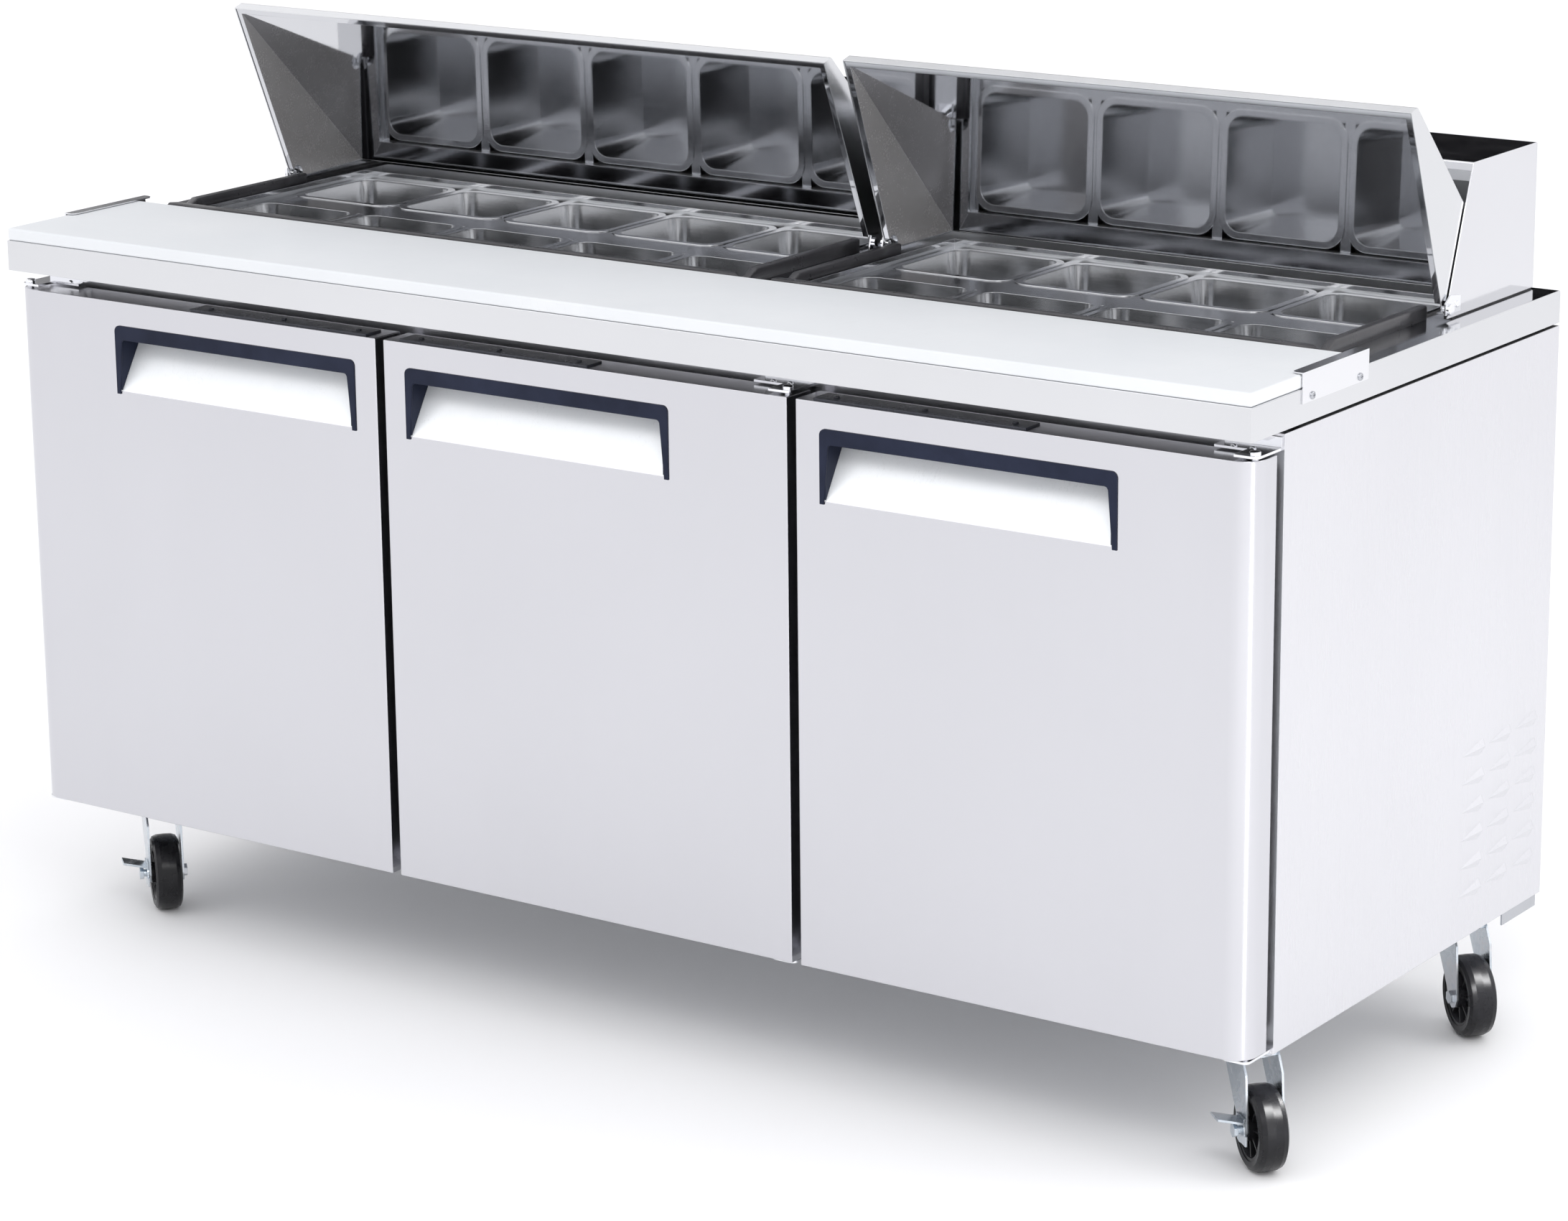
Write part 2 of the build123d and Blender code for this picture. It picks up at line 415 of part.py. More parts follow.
# ---------------------------------------------------------------- doors
hinge_solids = []
for k, (x0, x1) in DOOR_SPANS.items():
    side, R, t = DOOR_HINGE[k], DOOR_CORNER[k], DOOR_SHEET
    yf, yb = DOOR_FRONT, DOOR_BACK
    xp = x1 - PIVOT_IN if side == 1 else x0 + PIVOT_IN
    yp = yf + PIVOT_BACK
    free = x0 if side == 1 else x1
    hx0 = free + HANDLE_IN if side == 1 else free - HANDLE_IN - HANDLE_W
    hx1 = hx0 + HANDLE_W

    def block(m, za, zb, yback):
        b = bx(x0 + m, x1 - m, yf + m, yback, za, zb)
        v = b.edges().filter_by(Axis.Z).group_by(Axis.Y)[0].sort_by(Axis.X)
        e_h = v[-1] if side == 1 else v[0]
        e_f = v[0] if side == 1 else v[-1]
        b = fillet(e_h, max(R - m, 0.6))
        v = [e for e in b.edges().filter_by(Axis.Z) if abs(e.center().X - ((x0 + m) if side == 1 else (x1 - m))) < 0.3 and abs(e.center().Y - (yf + m)) < 0.3]
        if v:
            b = fillet(v, max(1.8 - m, 0.4))
        return b

    px0, px1 = hx0 + 6.5, hx1 - 6.5
    outer_pocket = prism_x([(yf + 0.2, 731.0), (yf + 0.2, 812.4), (yf + 43.4, 812.4), (yf + 43.4, 802.2)], px0 - 1.3, px1 + 1.3)
    cavity = prism_x([(yf - 2, 733.2), (yf - 2, 811.0), (yf + 42.0, 811.0), (yf + 42.0, 804.0), (yf, 733.2)], px0, px1)
    shell = block(0, DOOR_BOT, DOOR_TOP, yb)
    front_edges = [e for e in shell.edges() if abs(e.center().Y - yf) < 0.3 and abs(e.tangent_at(0.5).Z) < 0.1]
    shell = soft(shell, front_edges, 1.0)
    shell -= block(t, DOOR_BOT + t, DOOR_TOP - t, yb + 5)
    shell += outer_pocket
    shell -= cavity
    shell -= cyl((xp, yp, DOOR_TOP - 5), (0, 0, 1), 4.06, 8)
    shell -= cyl((xp, yp, DOOR_BOT - 2), (0, 0, 1), 4.06, 8)
    node("door_%s_shell" % k, shell)

    inner = block(t + G, DOOR_BOT + t + G, DOOR_TOP - t - G, yb)
    inner -= prism_x([(yf, 729.0), (yf, 812.6), (yf + 43.6, 812.6), (yf + 43.6, 802.0)], px0 - 1.5, px1 + 1.5)
    inner -= bx(hx0 - 1, hx1 + 1, yf, yf + 3.0, 728.0, 822.0)
    inner -= cyl((xp, yp, DOOR_TOP - 16), (0, 0, 1), 5.5, 20)
    inner -= cyl((xp, yp, DOOR_BOT - 2), (0, 0, 1), 5.5, 18)
    node("door_%s_inner_panel" % k, inner)

    gin = 11.0
    ring = bx(x0 + gin, x1 - gin, yb + G, BODY_FRONT - G, DOOR_BOT + gin, DOOR_TOP - gin)
    ring = soft(ring, ring.edges().filter_by(Axis.Y), 3.0)
    ring -= bx(x0 + gin + 14, x1 - gin - 14, yb - 1, BODY_FRONT + 1, DOOR_BOT + gin + 14, DOOR_TOP - gin - 14)
    node("door_%s_gasket" % k, ring)

    # handle frame: grip bar across the top, tapering side bars, cheeks and roof inside the recess
    yo = yf - 2.0
    rr = 8.0
    hz = HANDLE_TOP
    barb = hz - 18.5
    h = prism_y([(hx0, HANDLE_BOT), (hx0, hz), (hx1, hz), (hx1, HANDLE_BOT), (hx1 - 6, HANDLE_BOT), (hx1 - 12, barb),
                 (hx0 + 12, barb), (hx0 + 6, HANDLE_BOT)], yo, yf - G)
    h = soft(h, h.edges().filter_by(Axis.Y).group_by(Axis.Z)[-1], rr)
    inn = [e for e in h.edges().filter_by(Axis.Y) if abs(e.center().Z - barb) < 0.2]
    h = soft(h, inn, 5.0)
    rim_e = [e for e in h.edges() if abs(e.center().Y - yo) < 0.05]
    h = soft(h, rim_e, 0.9)
    for a, b in ((px0 + G, px0 + 1.6), (px1 - 1.6, px1 - G)):
        h += prism_x([(yf - 0.5, 735.4), (yf - 0.5, 810.9), (yf + 41.9, 810.9), (yf + 41.9, 804.6), (yf + 0.3, 735.4)], a, b)
    h += prism_x([(yf - 0.5, 809.0), (yf - 0.5, 810.9), (yf + 41.8, 810.9), (yf + 41.8, 809.0)], px0 + G, px1 - G)
    node("door_%s_handle" % k, h)

    # trim strip on the door's top face, beside the free edge, with three screws
    ta = free + 20 if side == 1 else free - 310
    strip = bx(ta, ta + 290, -364.0, -331.0, DOOR_TOP + G, DOOR_TOP + 2.0)
    strip = soft(strip, strip.edges().filter_by(Axis.Z), 3.0)
    pcs = [strip]
    for fx in (0.08, 0.5, 0.92):
        s = cyl((ta + 290 * fx, -347.5, DOOR_TOP + 2.05), (0, 0, 1), 3.6, 1.4)
        pcs.append(soft(s, s.edges().group_by(Axis.Z)[-1], 1.0))
    node("door_%s_top_trim" % k, pcs)

    # hinge brackets, fixed to the cabinet, with the pins that the door turns on
    for up in (1, -1):
        z0, z1 = (DOOR_TOP + 2.2, DOOR_TOP + 5.2) if up == 1 else (DOOR_BOT - 4.4, DOOR_BOT - 1.4)
        xe = xp + side * 8.0
        xf = xp - side * 64.0
        a, b = sorted((xe, xf))
        pl = bx(a, b, yp - 9.0, BODY_FRONT - G, z0, z1)
        outer_e = [e for e in pl.edges().filter_by(Axis.Z) if abs(e.center().Y - (yp - 9.0)) < 0.2]
        pl = soft(pl, outer_e, 8.0)
        # relief: the plate narrows away from the pin
        c0, c1 = sorted((xp - side * 22.0, xp - side * 70.0))
        pl -= bx(c0, c1, yp - 20, -330.0, z0 - 1, z1 + 1)
        fz0, fz1 = (z0, z0 + 15.0) if up == 1 else (BODY_BOT + 2.2, z1)
        pl += bx(a, b, BODY_FRONT - 2.0, BODY_FRONT - G, fz0, fz1)
        if up == 1:
            pl += cyl((xp, yp, DOOR_TOP - 12.0), (0, 0, 1), 4.0, 16.0)
            kn = cyl((xp, yp, z1), (0, 0, 1), 6.5, 4.5)
            pl += soft(kn, kn.edges().group_by(Axis.Z)[-1], 2.0)
            for dx in (28.0, 52.0):
                bh = cyl((xp - side * dx, BODY_FRONT - 2.0, z0 + 9.0), (0, -1, 0), 3.6, 2.2)
                pl += soft(bh, bh.edges().group_by(Axis.Y)[0], 1.2)
        else:
            pl += cyl((xp, yp, z0), (0, 0, 1), 4.0, 15.0)
        hinge_solids.append(pl)
node("door_hinge_brackets", hinge_solids)

# ---------------------------------------------------------------- shelves
shelves = []
SH_Z = 520.0
for x0, x1 in ((-INNER_X + 4, -MULL1 + 34), (-MULL1 + 42, MULL1 - 42), (MULL1 - 34, INNER_X - 4)):
    y0, y1 = -255.0, 318.0
    rods = []
    n = int((x1 - x0 - 16) // 26)
    for i in range(n + 1):
        x = x0 + 8 + (x1 - x0 - 16) * i / n
        rods.append(cyl((x, y0, SH_Z + 5.6), (0, 1, 0), 1.8, y1 - y0))
    for y in (y0 + 3, y0 + 150, y0 + 287, y0 + 430, y1 - 3):
        rods.append(cyl((x0, y, SH_Z + 1.6), (1, 0, 0), 3.0, x1 - x0))
    shelf = rods[0].fuse(*rods[1:])
    shelves.append(shelf)
node("wire_shelves", shelves)

stands = []
for x, sx in ((-INNER_X + 1.3, 1), (INNER_X - 1.3, -1)):
    for y in (-225.0, 290.0):
        a, b = sorted((x, x + sx * 1.6))
        p = bx(a, b, y - 8, y + 8, 490.0 if y > 0 else 215.0, 800.0)
        a, b = sorted((x + sx * 1.6, x + sx * 14.0))
        p += bx(a, b, y - 6, y + 6, SH_Z - 9.0, SH_Z - 1.5)
        stands.append(p)
for x in (-MULL1 + 38.0, MULL1 - 38.0):
    # centre standards: on the backs of the mullions and on the rear wall
    for ya, yb2, yc in ((FY1 + 0.1, FY1 + 8.0, -240.0), (321.0, 328.8, 300.0)):
        p = bx(x - 8, x + 8, ya, yb2, 490.0 if ya > 0 else 215.0, 800.0)
        p += bx(x - 14, x + 14, min(ya, yc), max(yb2, yc), SH_Z - 9.0, SH_Z - 1.5)
        stands.append(p)
node("shelf_standards", stands)

# ---------------------------------------------------------------- refrigeration
fins = []
for i in range(46):
    x = -270.0 + 12.0 * i
    fins.append(bx(x - 0.6, x + 0.6, 262.0, 322.0, 600.0, 760.0))
tubes = [cyl((-276.0, y, z), (1, 0, 0), 5.0, 552.0) for y in (278.0, 306.0) for z in (625.0, 665.0, 705.0, 745.0)]
coil = tubes[0].fuse(*(tubes[1:] + fins))
house = bx(-298, 298, 232.0, 328.0, 585.0, 775.0) - bx(-295, 295, 234.0, 326.0, 588.0, 772.0)
house -= cyl((0, 228, 680.0), (0, 1, 0), 78.0, 10.0)
house -= [bx(a, a + 10, 225.0, 240.0, 610.0, 750.0) for a in (-270, -245, -220, -195, -170, -145, 135, 160, 185, 210, 235, 260)]
node("evaporator", [coil, house])


def fan(c, d, r, blades, hub, w, twist=24.0):
    pl = Plane(origin=c, z_dir=d)
    f = Cylinder(hub, w)
    for i in range(blades):
        b = Box(r - hub + 3, r * 0.55, 1.6)
        b = Rot(0, 0, 0) * Pos((r + hub) / 2 - 2.0, 0, 0) * Rot(twist, 0, 0) * b
        b &= Cylinder(r, w * 3)
        f += Rot(0, 0, 360.0 * i / blades) * b
    f -= Cylinder(4.05, w * 4)
    return pl * f


EV_FAN = (0.0, 246.0, 680.0)
CO_FAN = (470.0, 250.0, 290.0)
node("evaporator_fan", fan(EV_FAN, (0, -1, 0), 70.0, 5, 16.0, 12.0, 12.0))
node("condenser_fan", fan(CO_FAN, (1, 0, 0), 92.0, 5, 22.0, 26.0, 24.0))

motors = []
m = cyl((0, 253.0, 680.0), (0, 1, 0), 20.0, 8.0) + cyl((0, 241.0, 680.0), (0, 1, 0), 4.0, 15.0)
m += bx(-140, 140, 259.5, 261.0, 674.0, 686.0)
motors.append(m)
m = cyl((485.0, 250.0, 290.0), (1, 0, 0), 30.0, 48.0) + cyl((455.0, 250.0, 290.0), (1, 0, 0), 4.0, 40.0)
m = soft(m, [e for e in m.edges() if abs(e.center().X - 533.0) < 0.1], 5.0)
m += bx(500.0, 506.0, 244.0, 256.0, 158.2, 262.0)
motors.append(m)
node("fan_motors", motors)

cond = [cyl((360.0, 150.0, z), (0, 1, 0), 4.5, 200.0) for z in (205, 235, 265, 295, 325, 355, 385)]
cond += [cyl((390.0, 150.0, z), (0, 1, 0), 4.5, 200.0) for z in (220, 250, 280, 310, 340, 370)]
cfins = [bx(345.0, 405.0, 155.0 + 8.0 * i, 155.6 + 8.0 * i + 0.6, 190.0, 400.0) for i in range(24)]
ends = [bx(344.0, 406.0, 149.0, 150.6, 158.2, 402.0), bx(344.0, 406.0, 349.4, 351.0, 158.2, 402.0)]
coil2 = cond[0].fuse(*(cond[1:] + cfins + ends))
shroud = bx(407.0, 462.0, 140.0, 360.0, 172.0, 405.0) - bx(406.0, 459.0, 142.0, 358.0, 174.0, 403.0)
shroud -= cyl((455.0, 250.0, 290.0), (1, 0, 0), 98.0, 12.0)
shroud += cyl((459.0, 250.0, 290.0), (1, 0, 0), 101.0, 20.0) - cyl((450.0, 250.0, 290.0), (1, 0, 0), 98.0, 40.0)
shroud += bx(407.0, 462.0, 147.0, 151.0, 158.2, 174.0) + bx(407.0, 462.0, 349.0, 353.0, 158.2, 174.0)
node("condenser", [coil2, shroud])

comp = cyl((620.0, 240.0, 178.0), (0, 0, 1), 78.0, 150.0)
comp = soft(comp, comp.edges().group_by(Axis.Z)[-1], 40.0)
comp = soft(comp, comp.edges().group_by(Axis.Z)[0], 18.0)
comp += bx(530.0, 710.0, 175.0, 305.0, 172.0, 178.5)
for x in (540.0, 700.0):
    for y in (188.0, 292.0):
        comp += cyl((x, y, 158.2), (0, 0, 1), 9.0, 15.0)
comp += bx(600.0, 640.0, 158.0, 172.0, 225.0, 275.0) 
node("compressor", comp)

tray = bx(-330.0, 800.0, 128.0, 372.0, BODY_BOT + 2.0, 158.0) - bx(-327.0, 797.0, 131.0, 369.0, 153.0, 160.0)
tr = [tray]
for s in (-1, 1):
    a, b = sorted((s * 920.4, s * 918.4))
    r = bx(a, b, 280.0, 372.0, 133.0, BODY_BOT - G)
    a, b = sorted((s * 920.4, s * 890.0))
    r += bx(a, b, 312.0, 372.0, 133.0, 134.8)
    r += bx(a, b, 370.0, 372.0, 133.0, BODY_BOT - G)
    tr.append(r)
node("machine_tray", tr)


def pipe(pts, r, rad):
    path = FilletPolyline(*pts, radius=rad)
    d = Vector(*pts[1]) - Vector(*pts[0])
    return sweep(Plane(origin=pts[0], z_dir=d) * Circle(r), path=path)


lines = [pipe([(650.0, 240.0, 328.1), (650.0, 240.0, 380.0), (650.0, 345.0, 380.0), (650.0, 345.0, 427.0)], 5.0, 14.0),
         pipe([(590.0, 240.0, 328.1), (590.0, 240.0, 392.0), (590.0, 366.0, 392.0), (376.0, 366.0, 392.0), (376.0, 366.0, 375.0)], 4.0, 8.0),
         cyl((300.0, 200.0, 175.0), (0, 0, 1), 14.0, 120.0) + cyl((300.0, 200.0, 158.2), (0, 0, 1), 5.0, 20.0)]
node("refrigerant_lines", lines)

ctrl = bx(-300.0 + 10, -300.0 + 90, 226.0, 231.9, 700.0, 742.0)
ctrl = soft(ctrl, ctrl.edges().group_by(Axis.Y)[0], 1.5)
node("temperature_control", ctrl)

gland = cyl((700.0, YH + G, 268.0), (0, 1, 0), 13.0, 4.0) + Plane(origin=(700.0, YH + 3.5, 268.0), z_dir=(0, 1, 0)) * extrude(RegularPolygon(11.0, 6), amount=7.0)
gland -= cyl((700.0, YH - 2, 268.0), (0, 1, 0), 4.5, 20.0)
node("power_inlet_gland", gland)

# ---------------------------------------------------------------- casters
plates, bolts = [], []
for k, (cx, cy) in CASTERS.items():
    loc = Pos(cx, cy, 0) * Rot(0, 0, CASTER_DEG)
    p = Pos(cx, cy, 147.4) * Box(92, 76, 3.1)
    p = soft(p, p.edges().filter_by(Axis.Z), 8.0)
    p += cyl((cx, cy, 142.2), (0, 0, 1), 31.0, 4.0)
    p += cyl((cx, cy, 133.0), (0, 0, 1), 6.0, 10.0)
    hd = cyl((cx, cy, 130.0), (0, 0, 1), 10.0, 3.2)
    p += soft(hd, hd.edges().group_by(Axis.Z)[0], 1.2)
    plates.append(p)
    for dx in (-36.0, 36.0):
        for dy in (-28.0, 28.0):
            b = Pos(cx + dx, cy + dy, 0) * Pos(0, 0, 142.0) * extrude(RegularPolygon(6.0, 6), amount=3.8)
            bolts.append(b)
    # fork
    leg_o, leg_i = WHEEL_W / 2 + 5.4, WHEEL_W / 2 + 2.6
    fk = Pos(0, 0, 137.6) * Cylinder(33.0, 8.0)
    fk = soft(fk, fk.edges().group_by(Axis.Z)[-1], 3.0)
    prof = [(-26.0, 139.0), (30.0, 139.0), (46.0, 118.0), (53.0, 51.0), (48.0, 40.5), (TRAIL, 36.5), (28.0, 40.5), (20.0, 60.0), (-22.0, 116.0)]
    for s in (-1, 1):
        a, b = sorted((s * leg_i, s * leg_o))
        leg = prism_y(prof, a, b)
        leg = soft(leg, leg.edges().filter_by(Axis.Y), 4.0)
        fk += leg
    fk += bx(-26.0, 30.0, -leg_i - 0.5, leg_i + 0.5, 133.8, 139.0)
    fk -= Pos(0, 0, 137.6) * Cylinder(6.06, 20.0)
    fk -= cyl((TRAIL, -40, WHEEL_R), (0, 1, 0), 5.04, 80.0)
    ax = cyl((TRAIL, -leg_o - 1.0, WHEEL_R), (0, 1, 0), 5.0, 2 * leg_o + 2.0)
    brake = k.startswith("front")
    hd1 = Plane(origin=(TRAIL, leg_o + 0.05, WHEEL_R), z_dir=(0, 1, 0)) * extrude(RegularPolygon(8.5, 6), amount=5.0)
    if brake:
        ax += cyl((TRAIL, -leg_o - 8.0, WHEEL_R), (0, 1, 0), 5.0, 12.0)
        hd2 = Plane(origin=(TRAIL, -leg_o - 6.6, WHEEL_R), z_dir=(0, -1, 0)) * extrude(RegularPolygon(8.5, 6), amount=5.0)
    else:
        hd2 = Plane(origin=(TRAIL, -leg_o - 0.05, WHEEL_R), z_dir=(0, -1, 0)) * extrude(RegularPolygon(8.5, 6), amount=5.0)
    ax += hd1 + hd2
    node("caster_%s_fork" % k, [loc * fk, loc * ax])
    # wheel: crowned tread on a ribbed hub
    hw = WHEEL_W / 2
    pts_o = [(38.0, -hw + 1.0), (44.0, -hw), (48.5, -hw + 2.5), (50.6, -hw + 8.0), (WHEEL_R, 0.0), (50.6, hw - 8.0), (48.5, hw - 2.5), (44.0, hw), (38.0, hw - 1.0)]
    w = Polyline(*[(r, z) for r, z in pts_o], close=True)
    tread = revolve(Plane.XZ * make_face(w), axis=Axis.Z)
    hubp = [(5.06, -hw - 1.8), (14.0, -hw - 1.8), (14.0, -8.0), (30.0, -8.0), (34.0, -hw + 2.0), (37.95, -hw + 2.0),
            (37.95, hw - 2.0), (34.0, hw - 2.0), (30.0, 8.0), (14.0, 8.0), (14.0, hw + 1.8), (5.06, hw + 1.8)]
    hub = revolve(Plane.XZ * make_face(Polyline(*hubp, close=True)), axis=Axis.Z)
    ribs = []
    for i in range(8):
        ribs.append(Rot(0, 0, 45.0 * i + 10) * Pos(23.5, 0, 0) * Box(21.0, 2.6, WHEEL_W - 7.0))
    hub += ribs
    turn = Pos(TRAIL, 0, WHEEL_R) * Rot(90, 0, 0)
    node("caster_%s_wheel" % k, [loc * turn * tread, loc * turn * hub])
    if brake:
        yo = -leg_o - 0.4
        br = cyl((TRAIL, yo, WHEEL_R), (0, -1, 0), 15.0, 2.6)
        br += bx(TRAIL - 13, TRAIL + 13, yo - 2.6, yo, WHEEL_R - 4, WHEEL_R + 17)
        wing = Pos(TRAIL, yo - 17.0, WHEEL_R + 15.0) * Rot(-14, 0, 0) * Box(26.0, 34.0, 2.8)
        wing = soft(wing, wing.edges().filter_by(Axis.Z), 3.0)
        br += wing
        br += bx(TRAIL - 6, TRAIL + 20, yo - 2.6, yo, WHEEL_R - 14, WHEEL_R - 2)
        br -= cyl((TRAIL, yo + 3, WHEEL_R), (0, -1, 0), 5.06, 12.0)
        node("caster_%s_brake" % k, loc * br)
node("caster_plates", plates)
node("fasteners", screws + bolts)

total = sum(len(s) for s in NODES.values())
print(len(NODES), "nodes,", total, "solids")
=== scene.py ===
import bpy
import bmesh
import math
from mathutils import Vector, Matrix


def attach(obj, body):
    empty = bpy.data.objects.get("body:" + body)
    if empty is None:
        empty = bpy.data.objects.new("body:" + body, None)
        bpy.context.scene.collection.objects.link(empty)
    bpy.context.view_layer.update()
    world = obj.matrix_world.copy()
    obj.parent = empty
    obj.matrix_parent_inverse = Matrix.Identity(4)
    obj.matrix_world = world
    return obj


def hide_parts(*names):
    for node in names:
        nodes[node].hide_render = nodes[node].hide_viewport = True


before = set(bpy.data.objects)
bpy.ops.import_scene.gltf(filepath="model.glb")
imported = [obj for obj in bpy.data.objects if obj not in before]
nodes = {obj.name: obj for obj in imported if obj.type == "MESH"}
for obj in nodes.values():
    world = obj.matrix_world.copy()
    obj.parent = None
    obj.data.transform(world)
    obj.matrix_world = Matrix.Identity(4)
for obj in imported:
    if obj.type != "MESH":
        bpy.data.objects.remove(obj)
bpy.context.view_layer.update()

scene = bpy.context.scene

# ------------------------------------------------------------------ camera
AZ, EL, ROLL = math.radians(34.971), math.radians(15.293), math.radians(-0.594)
right = Vector((math.cos(AZ), math.sin(AZ), 0))
fwd = Vector((-math.sin(AZ) * math.cos(EL), math.cos(AZ) * math.cos(EL), -math.sin(EL)))
up = right.cross(fwd)
r2 = right * math.cos(ROLL) + up * math.sin(ROLL)
u2 = r2.cross(fwd)
cam_data = bpy.data.cameras.new("camera")
cam = bpy.data.objects.new("camera", cam_data)
scene.collection.objects.link(cam)
cam.matrix_world = Matrix(((r2.x, u2.x, -fwd.x, 3.2882), (r2.y, u2.y, -fwd.y, -4.6471), (r2.z, u2.z, -fwd.z, 2.0212), (0, 0, 0, 1)))
cam_data.sensor_width = 36.0
cam_data.lens = 105.83
cam_data.clip_end = 200.0
scene.camera = cam
scene.view_settings.view_transform = "Standard"
scene.view_settings.look = "None"


# ------------------------------------------------------------------ material helpers
class Mat:
    """A small builder for procedural materials. Coordinates are the object's own, so they ride with the piece."""

    def __init__(self, name):
        self.m = bpy.data.materials.new(name)
        self.m.use_nodes = True
        self.nt = self.m.node_tree
        self.bsdf = self.nt.nodes["Principled BSDF"]
        self.tc = self.nt.nodes.new("ShaderNodeTexCoord")
        self.co = self.tc.outputs["Object"]
        self.h = None

    def n(self, kind, **kw):
        nd = self.nt.nodes.new(kind)
        for k, v in kw.items():
            setattr(nd, k, v)
        return nd

    def link(self, a, b):
        self.nt.links.new(a, b)

    def set(self, sock, v):
        s = self.bsdf.inputs[sock]
        if hasattr(v, "links") or hasattr(v, "is_linked"):
            self.link(v, s)
        else:
            s.default_value = v
        return self

    def scaled(self, sx, sy, sz, rot=(0, 0, 0)):
        mp = self.n("ShaderNodeMapping")
        mp.inputs["Scale"].default_value = (sx, sy, sz)
        mp.inputs["Rotation"].default_value = rot
        self.link(self.co, mp.inputs["Vector"])
        return mp.outputs["Vector"]

    def noise(self, vec, scale=1.0, detail=4.0, rough=0.55, dist=0.0):
        t = self.n("ShaderNodeTexNoise")
        t.inputs["Scale"].default_value = scale
        t.inputs["Detail"].default_value = detail
        t.inputs["Roughness"].default_value = rough
        t.inputs["Distortion"].default_value = dist
        self.link(vec, t.inputs["Vector"])
        return t.outputs["Fac"]

    def vor(self, vec, scale=1.0, feature="F1"):
        t = self.n("ShaderNodeTexVoronoi")
        t.feature = feature
        t.inputs["Scale"].default_value = scale
        self.link(vec, t.inputs["Vector"])
        return t.outputs["Distance"]

    def ramp(self, fac, stops, interp="LINEAR"):
        r = self.n("ShaderNodeValToRGB")
        r.color_ramp.interpolation = interp
        els = r.color_ramp.elements
        while len(els) > 1:
            els.remove(els[-1])
        for i, (p, c) in enumerate(stops):
            e = els[0] if i == 0 else els.new(p)
            e.position = p
            e.color = tuple(c) + (1.0,) if len(c) == 3 else tuple(c)
        self.link(fac, r.inputs["Fac"])
        return r.outputs["Color"]

    def rng(self, fac, a, b, c, d):
        r = self.n("ShaderNodeMapRange")
        for k, v in zip(("From Min", "From Max", "To Min", "To Max"), (a, b, c, d)):
            r.inputs[k].default_value = v
        self.link(fac, r.inputs["Value"])
        return r.outputs["Result"]

    def math(self, op, a, b=None, c=None):
        m = self.n("ShaderNodeMath", operation=op)
        for i, v in enumerate((a, b, c)):
            if v is None:
                continue
            if isinstance(v, (int, float)):
                m.inputs[i].default_value = v
            else:
                self.link(v, m.inputs[i])
        return m.outputs[0]

    def mix(self, fac, a, b, mode="MIX"):
        m = self.n("ShaderNodeMix", data_type="RGBA", blend_type=mode)
        if isinstance(fac, (int, float)):
            m.inputs[0].default_value = fac
        else:
            self.link(fac, m.inputs[0])
        for i, v in ((6, a), (7, b)):
            if isinstance(v, (tuple, list)):
                m.inputs[i].default_value = tuple(v) + (1.0,) if len(v) == 3 else tuple(v)
            else:
                self.link(v, m.inputs[i])
        return m.outputs[2]

    def bump(self, height, dist, strength=1.0, edge=0.0):
        b = self.n("ShaderNodeBump")
        b.inputs["Strength"].default_value = strength
        b.inputs["Distance"].default_value = dist
        self.link(height, b.inputs["Height"])
        if edge:
            bv = self.n("ShaderNodeBevel", samples=4)
            bv.inputs["Radius"].default_value = edge
            self.link(bv.outputs["Normal"], b.inputs["Normal"])
        if self.h is not None:
            self.link(self.h, b.inputs["Normal"])
        self.h = b.outputs["Normal"]
        self.link(self.h, self.bsdf.inputs["Normal"])
        return self

    def edges(self, radius):
        """Soft rounded edges in shading, for crisp folded or moulded corners."""
        bv = self.n("ShaderNodeBevel", samples=4)
        bv.inputs["Radius"].default_value = radius
        self.h = bv.outputs["Normal"]
        self.link(self.h, self.bsdf.inputs["Normal"])
        return self

    def geo(self, out):
        g = self.n("ShaderNodeNewGeometry")
        return g.outputs[out]

    def xyz(self):
        s = self.n("ShaderNodeSeparateXYZ")
        self.link(self.co, s.inputs[0])
        return s.outputs


